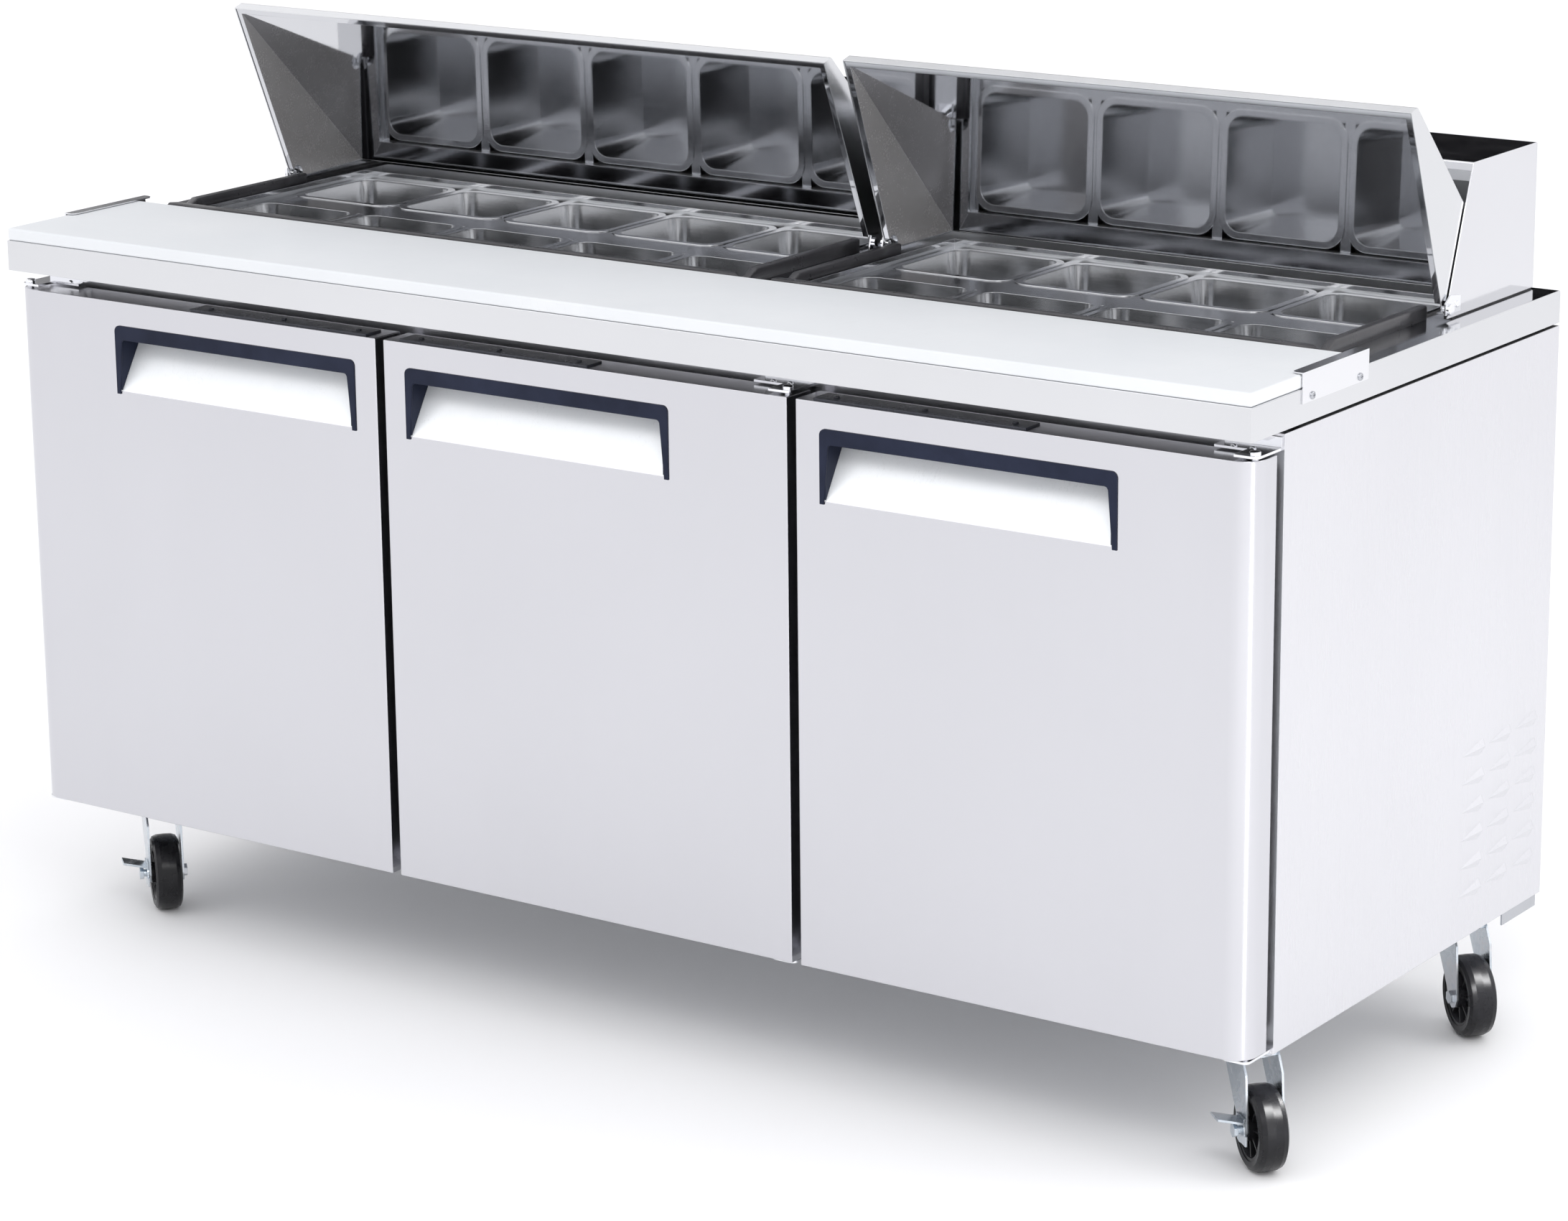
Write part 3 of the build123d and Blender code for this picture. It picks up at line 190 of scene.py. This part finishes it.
def steel(name, color, rough, grain="x", grain_amt=1.0, wav=0.0, edge=0.0008, aniso=0.35, tint=(0.985, 0.988, 1.0), smudge=0.05, cloud_amt=1.0, recess=False, ends=False):
    """Stainless sheet: drawn grain, slow mill waviness, faint wipe marks and softened edges."""
    m = Mat(name)
    m.edges(edge)
    sc = {"x": (14, 2600, 2600), "y": (2600, 14, 2600), "z": (2600, 2600, 14)}[grain]
    fine = m.noise(m.scaled(*sc), 1.0, 5.0, 0.7)
    mid = m.noise(m.scaled(*[v * 0.16 for v in sc]), 1.0, 3.0, 0.6)
    cloud = m.noise(m.scaled(2.3, 2.6, 2.1), 1.0, 5.0, 0.58, 0.4)
    wipe = m.noise(m.scaled(9, 11, 8, (0.5, 0.3, 0.8)), 1.0, 6.0, 0.7, 1.6)
    k = 0.022 * cloud_amt
    c0 = tuple(v * (1 - k) * t for v, t in zip(color, tint))
    c1 = tuple(min(v * (1 + k) * t, 1.0) for v, t in zip(color, tint))
    base = m.ramp(cloud, [(0.3, c0), (0.7, c1)])
    grainc = m.ramp(fine, [(0.3, (0.955, 0.955, 0.955)), (0.7, (1.0, 1.0, 1.0))])
    base = m.mix(0.5 * grain_amt, base, grainc, "MULTIPLY")
    streak = m.ramp(mid, [(0.35, (0.985, 0.985, 0.985)), (0.65, (1.0, 1.0, 1.0))])
    base = m.mix(0.8 * grain_amt, base, streak, "MULTIPLY")
    r = m.rng(fine, 0.25, 0.75, rough * (1 - 0.18 * grain_amt), rough * (1 + 0.18 * grain_amt))
    r = m.math("ADD", r, m.rng(wipe, 0.35, 0.75, -smudge * 0.4, smudge))
    r = m.math("ADD", r, m.rng(mid, 0.3, 0.7, -0.012, 0.012))
    if recess:
        # the hand recess is a pressed insert with a pale satin lacquer
        x, y, z = m.xyz()
        inside = m.math("MULTIPLY", m.math("GREATER_THAN", y, -0.3696), m.math("LESS_THAN", y, -0.3262))
        inside = m.math("MULTIPLY", inside, m.math("MULTIPLY", m.math("GREATER_THAN", z, 0.7310), m.math("LESS_THAN", z, 0.8120)))
        spans = [m.math("MULTIPLY", m.math("GREATER_THAN", x, a), m.math("LESS_THAN", x, b)) for a, b in ((-0.7430, -0.3554), (-0.2620, 0.1256), (0.3555, 0.7431))]
        inside = m.math("MULTIPLY", inside, m.math("ADD", m.math("ADD", spans[0], spans[1]), spans[2]))
        lac = m.ramp(m.noise(m.scaled(30, 30, 30), 1.0, 4.0, 0.6), [(0.3, (0.90, 0.925, 0.945)), (0.7, (0.93, 0.95, 0.965))])
        base = m.mix(inside, base, lac)
        m.set("Metallic", m.rng(inside, 0.0, 1.0, 1.0, 0.12))
        r = m.math("ADD", r, m.math("MULTIPLY", inside, 0.10))
    elif ends:
        # the end walls are satin sheet, the panel between them is polished
        nv = m.n("ShaderNodeSeparateXYZ")
        m.link(m.tc.outputs["Normal"], nv.inputs[0])
        mask = m.math("GREATER_THAN", m.math("ABSOLUTE", nv.outputs["X"]), 0.6)
        satin = m.ramp(cloud, [(0.3, (0.47, 0.455, 0.45)), (0.7, (0.55, 0.54, 0.535))])
        base = m.mix(mask, base, satin)
        m.set("Metallic", m.rng(mask, 0.0, 1.0, 1.0, 0.45))
        r = m.math("ADD", r, m.math("MULTIPLY", mask, 0.22))
    else:
        m.set("Metallic", 1.0)
    m.set("Base Color", base)
    m.set("Roughness", r)
    m.set("Anisotropic", aniso)
    m.bump(fine, 0.00001 * grain_amt, 0.5)
    if wav:
        slow = m.noise(m.scaled(1.7, 1.9, 1.5), 1.0, 2.0, 0.4)
        m.bump(slow, wav, 0.5)
    return m.m


def plastic(name, color, rough, grain=0.00012, scale=900, coat=0.0, edge=0.0008, var=0.25):
    """Moulded plastic or rubber: fine spark-eroded grain and cloudy tone."""
    m = Mat(name)
    m.edges(edge)
    g = m.vor(m.scaled(scale, scale, scale), 1.0)
    big = m.noise(m.scaled(14, 14, 14), 1.0, 5.0, 0.6)
    lo = tuple(v * (1 - var) for v in color)
    hi = tuple(min(1.0, v * (1 + var) + 0.004) for v in color)
    base = m.ramp(big, [(0.3, lo), (0.7, hi)])
    m.set("Base Color", base)
    m.set("Roughness", m.rng(m.noise(m.scaled(40, 40, 40), 1.0, 4.0, 0.6), 0.3, 0.7, rough * 0.85, min(1.0, rough * 1.18)))
    m.set("Coat Weight", coat)
    m.set("Coat Roughness", 0.12)
    m.bump(g, grain, 0.5)
    return m.m


def put(mat, *names):
    for n in names:
        o = nodes[n]
        o.data.materials.clear()
        o.data.materials.append(mat)


# ------------------------------------------------------------------ materials on the CAD nodes
M_TOP = steel("worktop_polished", (0.695, 0.698, 0.705), 0.10, "x", 0.5, 0.0010, 0.0009, 0.2, smudge=0.03)
M_HOOD = steel("hood_steel", (0.74, 0.74, 0.755), 0.10, "x", 0.6, 0.0010, 0.0012, 0.3)
M_LID = steel("lid_outer_steel", (0.73, 0.735, 0.74), 0.18, "x", 0.6, 0.0008, 0.0010, 0.3)
M_LIDIN = steel("lid_inner_polished", (0.62, 0.625, 0.64), 0.045, "x", 0.25, 0.0013, 0.0012, 0.1, smudge=0.02, ends=True)
M_DOOR = steel("door_steel", (0.635, 0.633, 0.655), 0.19, "z", 0.8, 0.0003, 0.0012, 0.3, smudge=0.02, cloud_amt=0.6, recess=True)
M_FRAME = steel("frame_steel", (0.60, 0.60, 0.62), 0.29, "x", 0.8, 0.0003, 0.0008, 0.3, smudge=0.03)
M_SIDE = steel("side_steel", (0.725, 0.722, 0.74), 0.29, "z", 0.8, 0.0004, 0.0008, 0.3, smudge=0.02, cloud_amt=0.6)
M_BACK = steel("galvanised_back", (0.52, 0.53, 0.55), 0.42, "x", 0.6, 0.0008, 0.0006, 0.1, smudge=0.08, cloud_amt=2.0)
M_BRACKET = steel("bracket_steel", (0.80, 0.80, 0.81), 0.16, "y", 0.6, 0.0, 0.0006, 0.2)
M_PAN = steel("pan_steel", (0.66, 0.665, 0.67), 0.18, "x", 0.7, 0.0008, 0.0012, 0.3)
M_LINER = steel("liner_aluminium", (0.74, 0.75, 0.76), 0.38, "x", 0.5, 0.0006, 0.0008, 0.2)
M_CHROME = steel("chrome_hardware", (0.86, 0.865, 0.88), 0.07, "x", 0.3, 0.0, 0.0006, 0.0, smudge=0.06)
M_SCREW = steel("screw_steel", (0.46, 0.47, 0.49), 0.20, "x", 0.4, 0.0, 0.0004, 0.0)


def zinc():
    m = Mat("zinc_plated")
    m.edges(0.0009)
    spangle = m.vor(m.scaled(170, 170, 170), 1.0)
    cloud = m.noise(m.scaled(22, 22, 22), 1.0, 6.0, 0.65, 0.7)
    col = m.ramp(cloud, [(0.25, (0.50, 0.56, 0.62)), (0.5, (0.66, 0.70, 0.74)), (0.62, (0.70, 0.70, 0.72)), (0.8, (0.58, 0.64, 0.72))])
    col = m.mix(0.25, col, m.ramp(spangle, [(0.1, (0.75, 0.78, 0.82)), (0.8, (1, 1, 1))]), "MULTIPLY")
    m.set("Base Color", col)
    m.set("Metallic", 1.0)
    m.set("Roughness", m.rng(cloud, 0.3, 0.75, 0.20, 0.40))
    m.bump(m.noise(m.scaled(260, 260, 260), 1.0, 3.0, 0.6), 0.00006, 0.5)
    return m.m


M_ZINC = zinc()


def hdpe():
    """Cutting board: milky, softly translucent, matt with fine mill marks and faint knife lines."""
    m = Mat("cutting_board_hdpe")
    m.edges(0.0015)
    cloud = m.noise(m.scaled(4, 5, 5), 1.0, 4.0, 0.6)
    mill = m.noise(m.scaled(30, 900, 900), 1.0, 4.0, 0.7)
    cut1 = m.n("ShaderNodeTexWave", wave_type="BANDS", bands_direction="X")
    cut1.inputs["Scale"].default_value = 26.0
    cut1.inputs["Distortion"].default_value = 14.0
    cut1.inputs["Detail"].default_value = 3.0
    m.link(m.scaled(1.0, 0.22, 1.0, (0, 0, 0.5)), cut1.inputs["Vector"])
    knife = m.ramp(cut1.outputs["Fac"], [(0.0, (0, 0, 0)), (0.965, (0, 0, 0)), (1.0, (1, 1, 1))])
    patch = m.rng(m.noise(m.scaled(2.3, 5, 5), 1.0, 3.0, 0.5), 0.5, 0.7, 0.0, 1.0)
    knife = m.mix(patch, (0, 0, 0), knife)
    base = m.ramp(cloud, [(0.3, (0.715, 0.735, 0.755)), (0.7, (0.755, 0.77, 0.785))])
    base = m.mix(m.math("MULTIPLY", knife, 0.25), base, (0.66, 0.67, 0.68))
    m.set("Base Color", base)
    m.set("Roughness", m.rng(mill, 0.3, 0.7, 0.36, 0.50))
    m.set("Subsurface Weight", 0.12)
    m.set("Subsurface Radius", (0.006, 0.006, 0.006))
    m.set("IOR", 1.5)
    m.bump(mill, 0.00004, 0.5)
    m.bump(knife, -0.0002, 0.5)
    return m.m


M_BOARD = hdpe()
M_HANDLE = plastic("handle_black_blue", (0.010, 0.014, 0.033), 0.36, 0.00010, 700, 0.0, 0.0014)
M_HANDLE.node_tree.nodes["Principled BSDF"].inputs["Specular IOR Level"].default_value = 0.16
M_TRIM = plastic("trim_black", (0.025, 0.028, 0.040), 0.28, 0.00008, 800, 0.2, 0.0006)
M_RAIL = plastic("well_frame_grey", (0.040, 0.039, 0.043), 0.30, 0.00010, 700, 0.1, 0.0010)
M_GASKET = plastic("gasket_black", (0.018, 0.018, 0.020), 0.55, 0.00008, 600, 0.0, 0.0012)
M_FAN = plastic("fan_black", (0.020, 0.020, 0.022), 0.40, 0.00008, 500)
M_COMP = plastic("compressor_enamel", (0.012, 0.012, 0.013), 0.24, 0.00025, 260, 0.5, 0.002)
M_CORE = plastic("door_inner_white", (0.80, 0.82, 0.84), 0.35, 0.00010, 420, 0.0, 0.003, 0.03)
M_FOAM = plastic("foam_core", (0.72, 0.66, 0.50), 0.85, 0.0009, 260, 0.0, 0.001, 0.08)


def foam_painted_shade_and_breaker(mat):
    """The foam's upper layer, where the worktop is bedded on it, is coloured near black as painted shade, and its
    front edge with a pale breaker strip.
    """
    nt = mat.node_tree
    bsdf = nt.nodes["Principled BSDF"]
    old = bsdf.inputs["Base Color"].links[0].from_socket
    tc = nt.nodes.new("ShaderNodeTexCoord")
    sp = nt.nodes.new("ShaderNodeSeparateXYZ")
    nt.links.new(tc.outputs["Object"], sp.inputs[0])
    nz = nt.nodes.new("ShaderNodeTexNoise")
    nz.inputs["Scale"].default_value = 240.0
    nt.links.new(tc.outputs["Object"], nz.inputs["Vector"])
    wob = nt.nodes.new("ShaderNodeMath")
    wob.operation = "MULTIPLY_ADD"
    nt.links.new(nz.outputs["Fac"], wob.inputs[0])
    wob.inputs[1].default_value = 0.004
    nt.links.new(sp.outputs["Z"], wob.inputs[2])
    # painted shade: above a slightly wavy line at z 0.866 the foam is coloured near black
    gt = nt.nodes.new("ShaderNodeMath")
    gt.operation = "GREATER_THAN"
    gt.inputs[1].default_value = 0.866
    nt.links.new(wob.outputs[0], gt.inputs[0])
    mx = nt.nodes.new("ShaderNodeMix")
    mx.data_type = "RGBA"
    nt.links.new(gt.outputs[0], mx.inputs[0])
    nt.links.new(old, mx.inputs[6])
    # near-black colour of the painted shade on the foam's top layer
    mx.inputs[7].default_value = (0.022, 0.022, 0.024, 1)
    fr = nt.nodes.new("ShaderNodeMath")
    fr.operation = "LESS_THAN"
    fr.inputs[1].default_value = -0.262
    nt.links.new(sp.outputs["Y"], fr.inputs[0])
    tone = nt.nodes.new("ShaderNodeValToRGB")
    tone.color_ramp.elements[0].color = (0.50, 0.51, 0.53, 1)
    tone.color_ramp.elements[1].color = (0.60, 0.61, 0.63, 1)
    nt.links.new(nz.outputs["Fac"], tone.inputs["Fac"])
    m2 = nt.nodes.new("ShaderNodeMix")
    m2.data_type = "RGBA"
    nt.links.new(fr.outputs[0], m2.inputs[0])
    nt.links.new(old, m2.inputs[6])
    nt.links.new(tone.outputs["Color"], m2.inputs[7])
    nt.links.new(m2.outputs[2], mx.inputs[6])
    nt.links.new(mx.outputs[2], bsdf.inputs["Base Color"])


foam_painted_shade_and_breaker(M_FOAM)
M_CTRL = plastic("control_case", (0.05, 0.05, 0.055), 0.38, 0.00010, 500)


def copper():
    m = Mat("copper_line")
    m.edges(0.0006)
    ox = m.noise(m.scaled(30, 30, 30), 1.0, 6.0, 0.6, 0.5)
    m.set("Base Color", m.ramp(ox, [(0.3, (0.62, 0.33, 0.20)), (0.6, (0.83, 0.50, 0.35)), (0.8, (0.50, 0.30, 0.20))]))
    m.set("Metallic", 1.0)
    m.set("Roughness", m.rng(ox, 0.3, 0.8, 0.22, 0.45))
    m.bump(m.noise(m.scaled(400, 400, 400), 1.0, 3.0, 0.6), 0.00004, 0.5)
    return m.m


M_COPPER = copper()


def tread():
    """Wheel: glossy moulded tread and hub in one material, scuffed a little at random."""
    m = Mat("wheel_black")
    m.edges(0.0012)
    n1 = m.noise(m.scaled(60, 60, 60), 1.0, 6.0, 0.7, 0.3)
    dust = m.noise(m.scaled(18, 18, 18), 1.0, 5.0, 0.65)
    m.set("Base Color", m.ramp(n1, [(0.3, (0.006, 0.006, 0.007)), (0.7, (0.012, 0.012, 0.014))]))
    m.set("Roughness", m.rng(dust, 0.35, 0.7, 0.24, 0.34))
    m.set("Specular IOR Level", 0.25)
    m.bump(m.noise(m.scaled(900, 900, 900), 1.0, 2.0, 0.5), 0.00001, 0.4)
    return m.m


M_WHEEL = tread()

put(M_TOP, "worktop")
put(M_HOOD, "hood_shell")
put(M_LINER, "hood_liner", "cabinet_liner", "evaporator")
put(M_LID, "lid_left_shell", "lid_right_shell")
put(M_LIDIN, "lid_left_liner", "lid_right_liner")
put(M_SIDE, "side_panels")
put(M_BACK, "back_panel", "bottom_panel", "machine_tray", "condenser")
put(M_FRAME, "face_frame")
put(M_FOAM, "cabinet_insulation")
put(M_PAN, "food_pans_front", "food_pans_rear", "pan_support_bars")
put(M_GASKET, "lid_seals")
put(M_BOARD, "cutting_board")
put(M_BRACKET, "board_brackets", "shelf_standards")
put(M_CHROME, "lid_pivot_brackets", "door_hinge_brackets", "wire_shelves")
put(M_SCREW, "fasteners")
put(M_FAN, "evaporator_fan", "condenser_fan")
put(M_COMP, "compressor", "fan_motors")
put(M_COPPER, "refrigerant_lines")
put(M_CTRL, "temperature_control", "power_inlet_gland")
put(M_ZINC, "caster_plates")
for d in ("left", "centre", "right"):
    put(M_DOOR, "door_%s_shell" % d)
    put(M_CORE, "door_%s_inner_panel" % d)
    put(M_GASKET, "door_%s_gasket" % d)
    put(M_HANDLE, "door_%s_handle" % d)
    put(M_TRIM, "door_%s_top_trim" % d)
for k in ("front_left", "front_right", "rear_left", "rear_right"):
    put(M_ZINC, "caster_%s_fork" % k)
    put(M_WHEEL, "caster_%s_wheel" % k)
    if k.startswith("front"):
        put(M_ZINC, "caster_%s_brake" % k)

# smooth shading on curved CAD faces, crisp folds elsewhere
for o in nodes.values():
    me = o.data
    if me.polygons:
        me.polygons.foreach_set("use_smooth", [True] * len(me.polygons))

# ------------------------------------------------------------------ studio
def staged(name, verts, faces, mat):
    me = bpy.data.meshes.new(name)
    me.from_pydata(verts, [], faces)
    ob = bpy.data.objects.new(name, me)
    me.materials.append(mat)
    scene.collection.objects.link(ob)
    return ob


fm = Mat("floor_pale")
fm.set("Base Color", fm.ramp(fm.noise(fm.scaled(1.3, 1.3, 1.3), 1.0, 3.0, 0.5), [(0.3, (0.955, 0.955, 0.957)), (0.7, (0.975, 0.975, 0.977))]))
fm.set("Roughness", 0.65)
fm.set("Specular IOR Level", 0.2)
staged("floor", [(-40, -40, 0), (40, -40, 0), (40, 40, 0), (-40, 40, 0)], [(0, 1, 2, 3)], fm.m)

w = bpy.data.worlds.new("studio")
scene.world = w
w.use_nodes = True
nt = w.node_tree
nt.nodes.clear()
tc = nt.nodes.new("ShaderNodeTexCoord")
lp = nt.nodes.new("ShaderNodeLightPath")
sep = nt.nodes.new("ShaderNodeSeparateXYZ")
nt.links.new(tc.outputs["Generated"], sep.inputs[0])


def wmath(op, a, b):
    m = nt.nodes.new("ShaderNodeMath")
    m.operation = op
    for i, v in enumerate((a, b)):
        if isinstance(v, (int, float)):
            m.inputs[i].default_value = v
        else:
            nt.links.new(v, m.inputs[i])
    return m.outputs[0]


# a dark curtain stands behind the table above the floor line; the rest of the studio is white
dot = nt.nodes.new("ShaderNodeVectorMath")
dot.operation = "DOT_PRODUCT"
nt.links.new(tc.outputs["Generated"], dot.inputs[0])
dot.inputs[1].default_value = Vector((-0.50, 0.82, 0.30)).normalized()
rg = nt.nodes.new("ShaderNodeMapRange")
rg.inputs["From Min"].default_value = 0.945
rg.inputs["From Max"].default_value = 0.978
nt.links.new(dot.outputs["Value"], rg.inputs["Value"])
zup = nt.nodes.new("ShaderNodeMapRange")
zup.inputs["From Min"].default_value = -0.02
zup.inputs["From Max"].default_value = 0.06
nt.links.new(sep.outputs["Z"], zup.inputs["Value"])
dark = wmath("MULTIPLY", rg.outputs["Result"], zup.outputs["Result"])
dark = wmath("MULTIPLY", dark, lp.outputs["Is Glossy Ray"])
mixw = nt.nodes.new("ShaderNodeMix")
mixw.data_type = "RGBA"
nt.links.new(dark, mixw.inputs[0])
mixw.inputs[6].default_value = (1.0, 1.0, 1.02, 1)
mixw.inputs[7].default_value = (0.004, 0.004, 0.005, 1)
bg = nt.nodes.new("ShaderNodeBackground")
nt.links.new(mixw.outputs[2], bg.inputs["Color"])
bg.inputs["Strength"].default_value = 1.14
out = nt.nodes.new("ShaderNodeOutputWorld")
nt.links.new(bg.outputs[0], out.inputs[0])


def area(name, loc, target, size, power, color=(1, 1, 1)):
    ld = bpy.data.lights.new(name, "AREA")
    ld.shape = "RECTANGLE"
    ld.size, ld.size_y = size
    ld.energy = power
    ld.color = color
    ob = bpy.data.objects.new(name, ld)
    scene.collection.objects.link(ob)
    ob.location = loc
    ob.rotation_euler = (Vector(target) - Vector(loc)).to_track_quat("-Z", "Y").to_euler()
    return ob


area("key_softbox", (-2.6, -4.2, 4.4), (-0.2, 0, 0.6), (3.5, 2.5), 18)
area("right_softbox", (2.6, -2.4, 2.7), (2.3, -1.9, 0.0), (1.6, 1.2), 26)
area("side_softbox", (3.6, 1.2, 2.6), (2.2, 0.9, 0.0), (1.8, 1.8), 16)
# a narrow upright strip that puts the light line down the rounded corner of the right-hand door
strip = area("corner_strip", (1.42, -0.585, 0.42), (0.91, -0.36, 0.42), (0.05, 0.84), 0.55)
strip.visible_camera = False
# two small soft lights put the glint on the right-hand wheels, and light nothing else
glint_on = bpy.data.collections.new("wheel_glint_on")
for k in ("front_left", "front_right", "rear_left", "rear_right"):
    glint_on.objects.link(nodes["caster_%s_wheel" % k])
for name, cx, cy in (("wheel_glint_front", 0.872, -0.265), ("wheel_glint_rear", 0.872, 0.262)):
    nrm = Vector((0.755 * 0.743, -0.656 * 0.743, 0.669)).normalized()
    ct = Vector((cx + 0.0287, cy - 0.0249, 0.051)) + 0.051 * nrm
    toward = (cam.location - ct).normalized()
    gl = area(name, ct + (2.0 * nrm.dot(toward) * nrm - toward) * 0.5, ct, (0.11, 0.26), 5.0)
    gl.visible_camera = False
    gl.light_linking.receiver_collection = glint_on

# ------------------------------------------------------------------ added pieces
def mesh_piece(name, verts, faces, mat, body, smooth=True):
    me = bpy.data.meshes.new(name)
    me.from_pydata([tuple(v) for v in verts], [], faces)
    me.update()
    bm = bmesh.new()
    bm.from_mesh(me)
    bmesh.ops.recalc_face_normals(bm, faces=bm.faces)
    bm.to_mesh(me)
    bm.free()
    if smooth:
        me.polygons.foreach_set("use_smooth", [True] * len(me.polygons))
    me.materials.append(mat)
    ob = bpy.data.objects.new(name, me)
    scene.collection.objects.link(ob)
    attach(ob, body)
    return ob


def rounded(x0, x1, z0, z1, r, seg=6):
    """Corner points of a rounded rectangle in X and Z, anticlockwise seen from the front."""
    r = max(r, 0.0002)
    pts = []
    for cx, cz, a0 in ((x1 - r, z1 - r, 0), (x0 + r, z1 - r, 90), (x0 + r, z0 + r, 180), (x1 - r, z0 + r, 270)):
        for i in range(seg + 1):
            a = math.radians(a0 + 90.0 * i / seg)
            pts.append((cx + r * math.cos(a), cz + r * math.sin(a)))
    return pts


def loft(loops, closed=False, cap=False):
    """Skins loops of points that have the same length."""
    n = len(loops[0])
    verts = [p for lp in loops for p in lp]
    faces = []
    m = len(loops)
    for i in range(m if closed else m - 1):
        j = (i + 1) % m
        for k in range(n):
            l = (k + 1) % n
            faces.append((i * n + k, i * n + l, j * n + l, j * n + k))
    if cap:
        faces.append(tuple(range((m - 1) * n, m * n)))
    return verts, faces


DOORS = {"left": (-0.9220, -0.3152, -1), "centre": (-0.3022, 0.3028, 1), "right": (0.3153, 0.9220, 1)}
DZ0, DZ1, YB = 0.157, 0.851, -0.321
# bellows gasket: foot in the door's groove, two folds, and the magnet strip that meets the cabinet
PROFILE = [(0.0, 0.0001), (0.0, 0.0022), (-0.0022, 0.0034), (-0.0004, 0.0052), (-0.0022, 0.0070), (-0.0006, 0.0086), (-0.0006, 0.0150), (-0.0016, 0.0158),
           (-0.0124, 0.0158), (-0.0134, 0.0150), (-0.0134, 0.0086), (-0.0118, 0.0070), (-0.0136, 0.0052), (-0.0118, 0.0034), (-0.0140, 0.0022), (-0.0140, 0.0001)]
for d, (x0, x1, side) in DOORS.items():
    g = 0.011
    loops = []
    for u, v in PROFILE:
        q = g - u
        loops.append([(x, YB + v, z) for x, z in rounded(x0 + q, x1 - q, DZ0 + q, DZ1 - q, 0.006 + max(0.0, 0.0001) + u + 0.0140, 5)])
    v, f = loft(loops, closed=True)
    ob = mesh_piece("door_%s_bellows_gasket" % d, v, f, M_GASKET, "door_" + d)
    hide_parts("door_%s_gasket" % d)
    # pressed inner face of the door: a raised field with a soft shoulder and a shallow dish
    loops = []
    for inset, y, r in ((0.0290, 0.0001, 0.010), (0.0293, 0.0040, 0.0105), (0.0310, 0.0074, 0.012), (0.0345, 0.0090, 0.015), (0.0600, 0.0092, 0.030),
                        (0.0640, 0.0086, 0.032), (0.0680, 0.0062, 0.034), (0.0720, 0.0050, 0.036), (0.0760, 0.0047, 0.038), (0.1400, 0.0046, 0.040)):
        loops.append([(x, YB + y, z) for x, z in rounded(x0 + inset, x1 - inset, DZ0 + inset, DZ1 - inset, r, 6)])
    v, f = loft(loops, cap=True)
    mesh_piece("door_%s_inner_pressing" % d, v, f, M_CORE, "door_" + d)

# moulded frame that stands round the front and sides of each pan well, notched where the lid's lip comes down
WELLS = {"left": (-0.852, 0.050), "right": (0.130, 0.852)}
WY, TOP = -0.118, 0.915
for k, (x0, x1) in WELLS.items():
    def section(h):
        r = min(0.0026, h * 0.35)
        pts = [(0.0142, 0.0001), (0.0142, h - r)]
        pts += [(0.0142 - r + r * math.cos(a), h - r + r * math.sin(a)) for a in (0.4, 0.8, 1.2, 1.5708)]
        pts += [(0.0024 + r - r * math.sin(a), h - r + r * math.cos(a)) for a in (0.0, 0.4, 0.8, 1.2)]
        pts += [(0.0024, h - r), (0.0024, 0.0001)]
        return pts
    H, N = 0.0170, 0.00615
    run = [(0.1380, H), (0.0900, H), (0.0, H), (-0.0850, H), (-0.0870, H - 0.0004), (-0.1060, N + 0.0006), (-0.1080, N), (-0.1195, N)]
    loops = [[(x0 - u, y, TOP + v) for u, v in section(h)] for y, h in run]
    loops.append([(x0 - u, WY - u, TOP + v) for u, v in section(H)])
    for i in range(1, 12):
        xx = x0 + (x1 - x0) * i / 12
        loops.append([(xx, WY - u, TOP + v) for u, v in section(H)])
    loops.append([(x1 + u, WY - u, TOP + v) for u, v in section(H)])
    loops += [[(x1 + u, y, TOP + v) for u, v in section(h)] for y, h in reversed(run)]
    v, f = loft(loops, cap=True)
    n = len(loops[0])
    f.append(tuple(reversed(range(n))))
    mesh_piece("well_frame_%s" % k, v, f, M_RAIL, "cabinet")
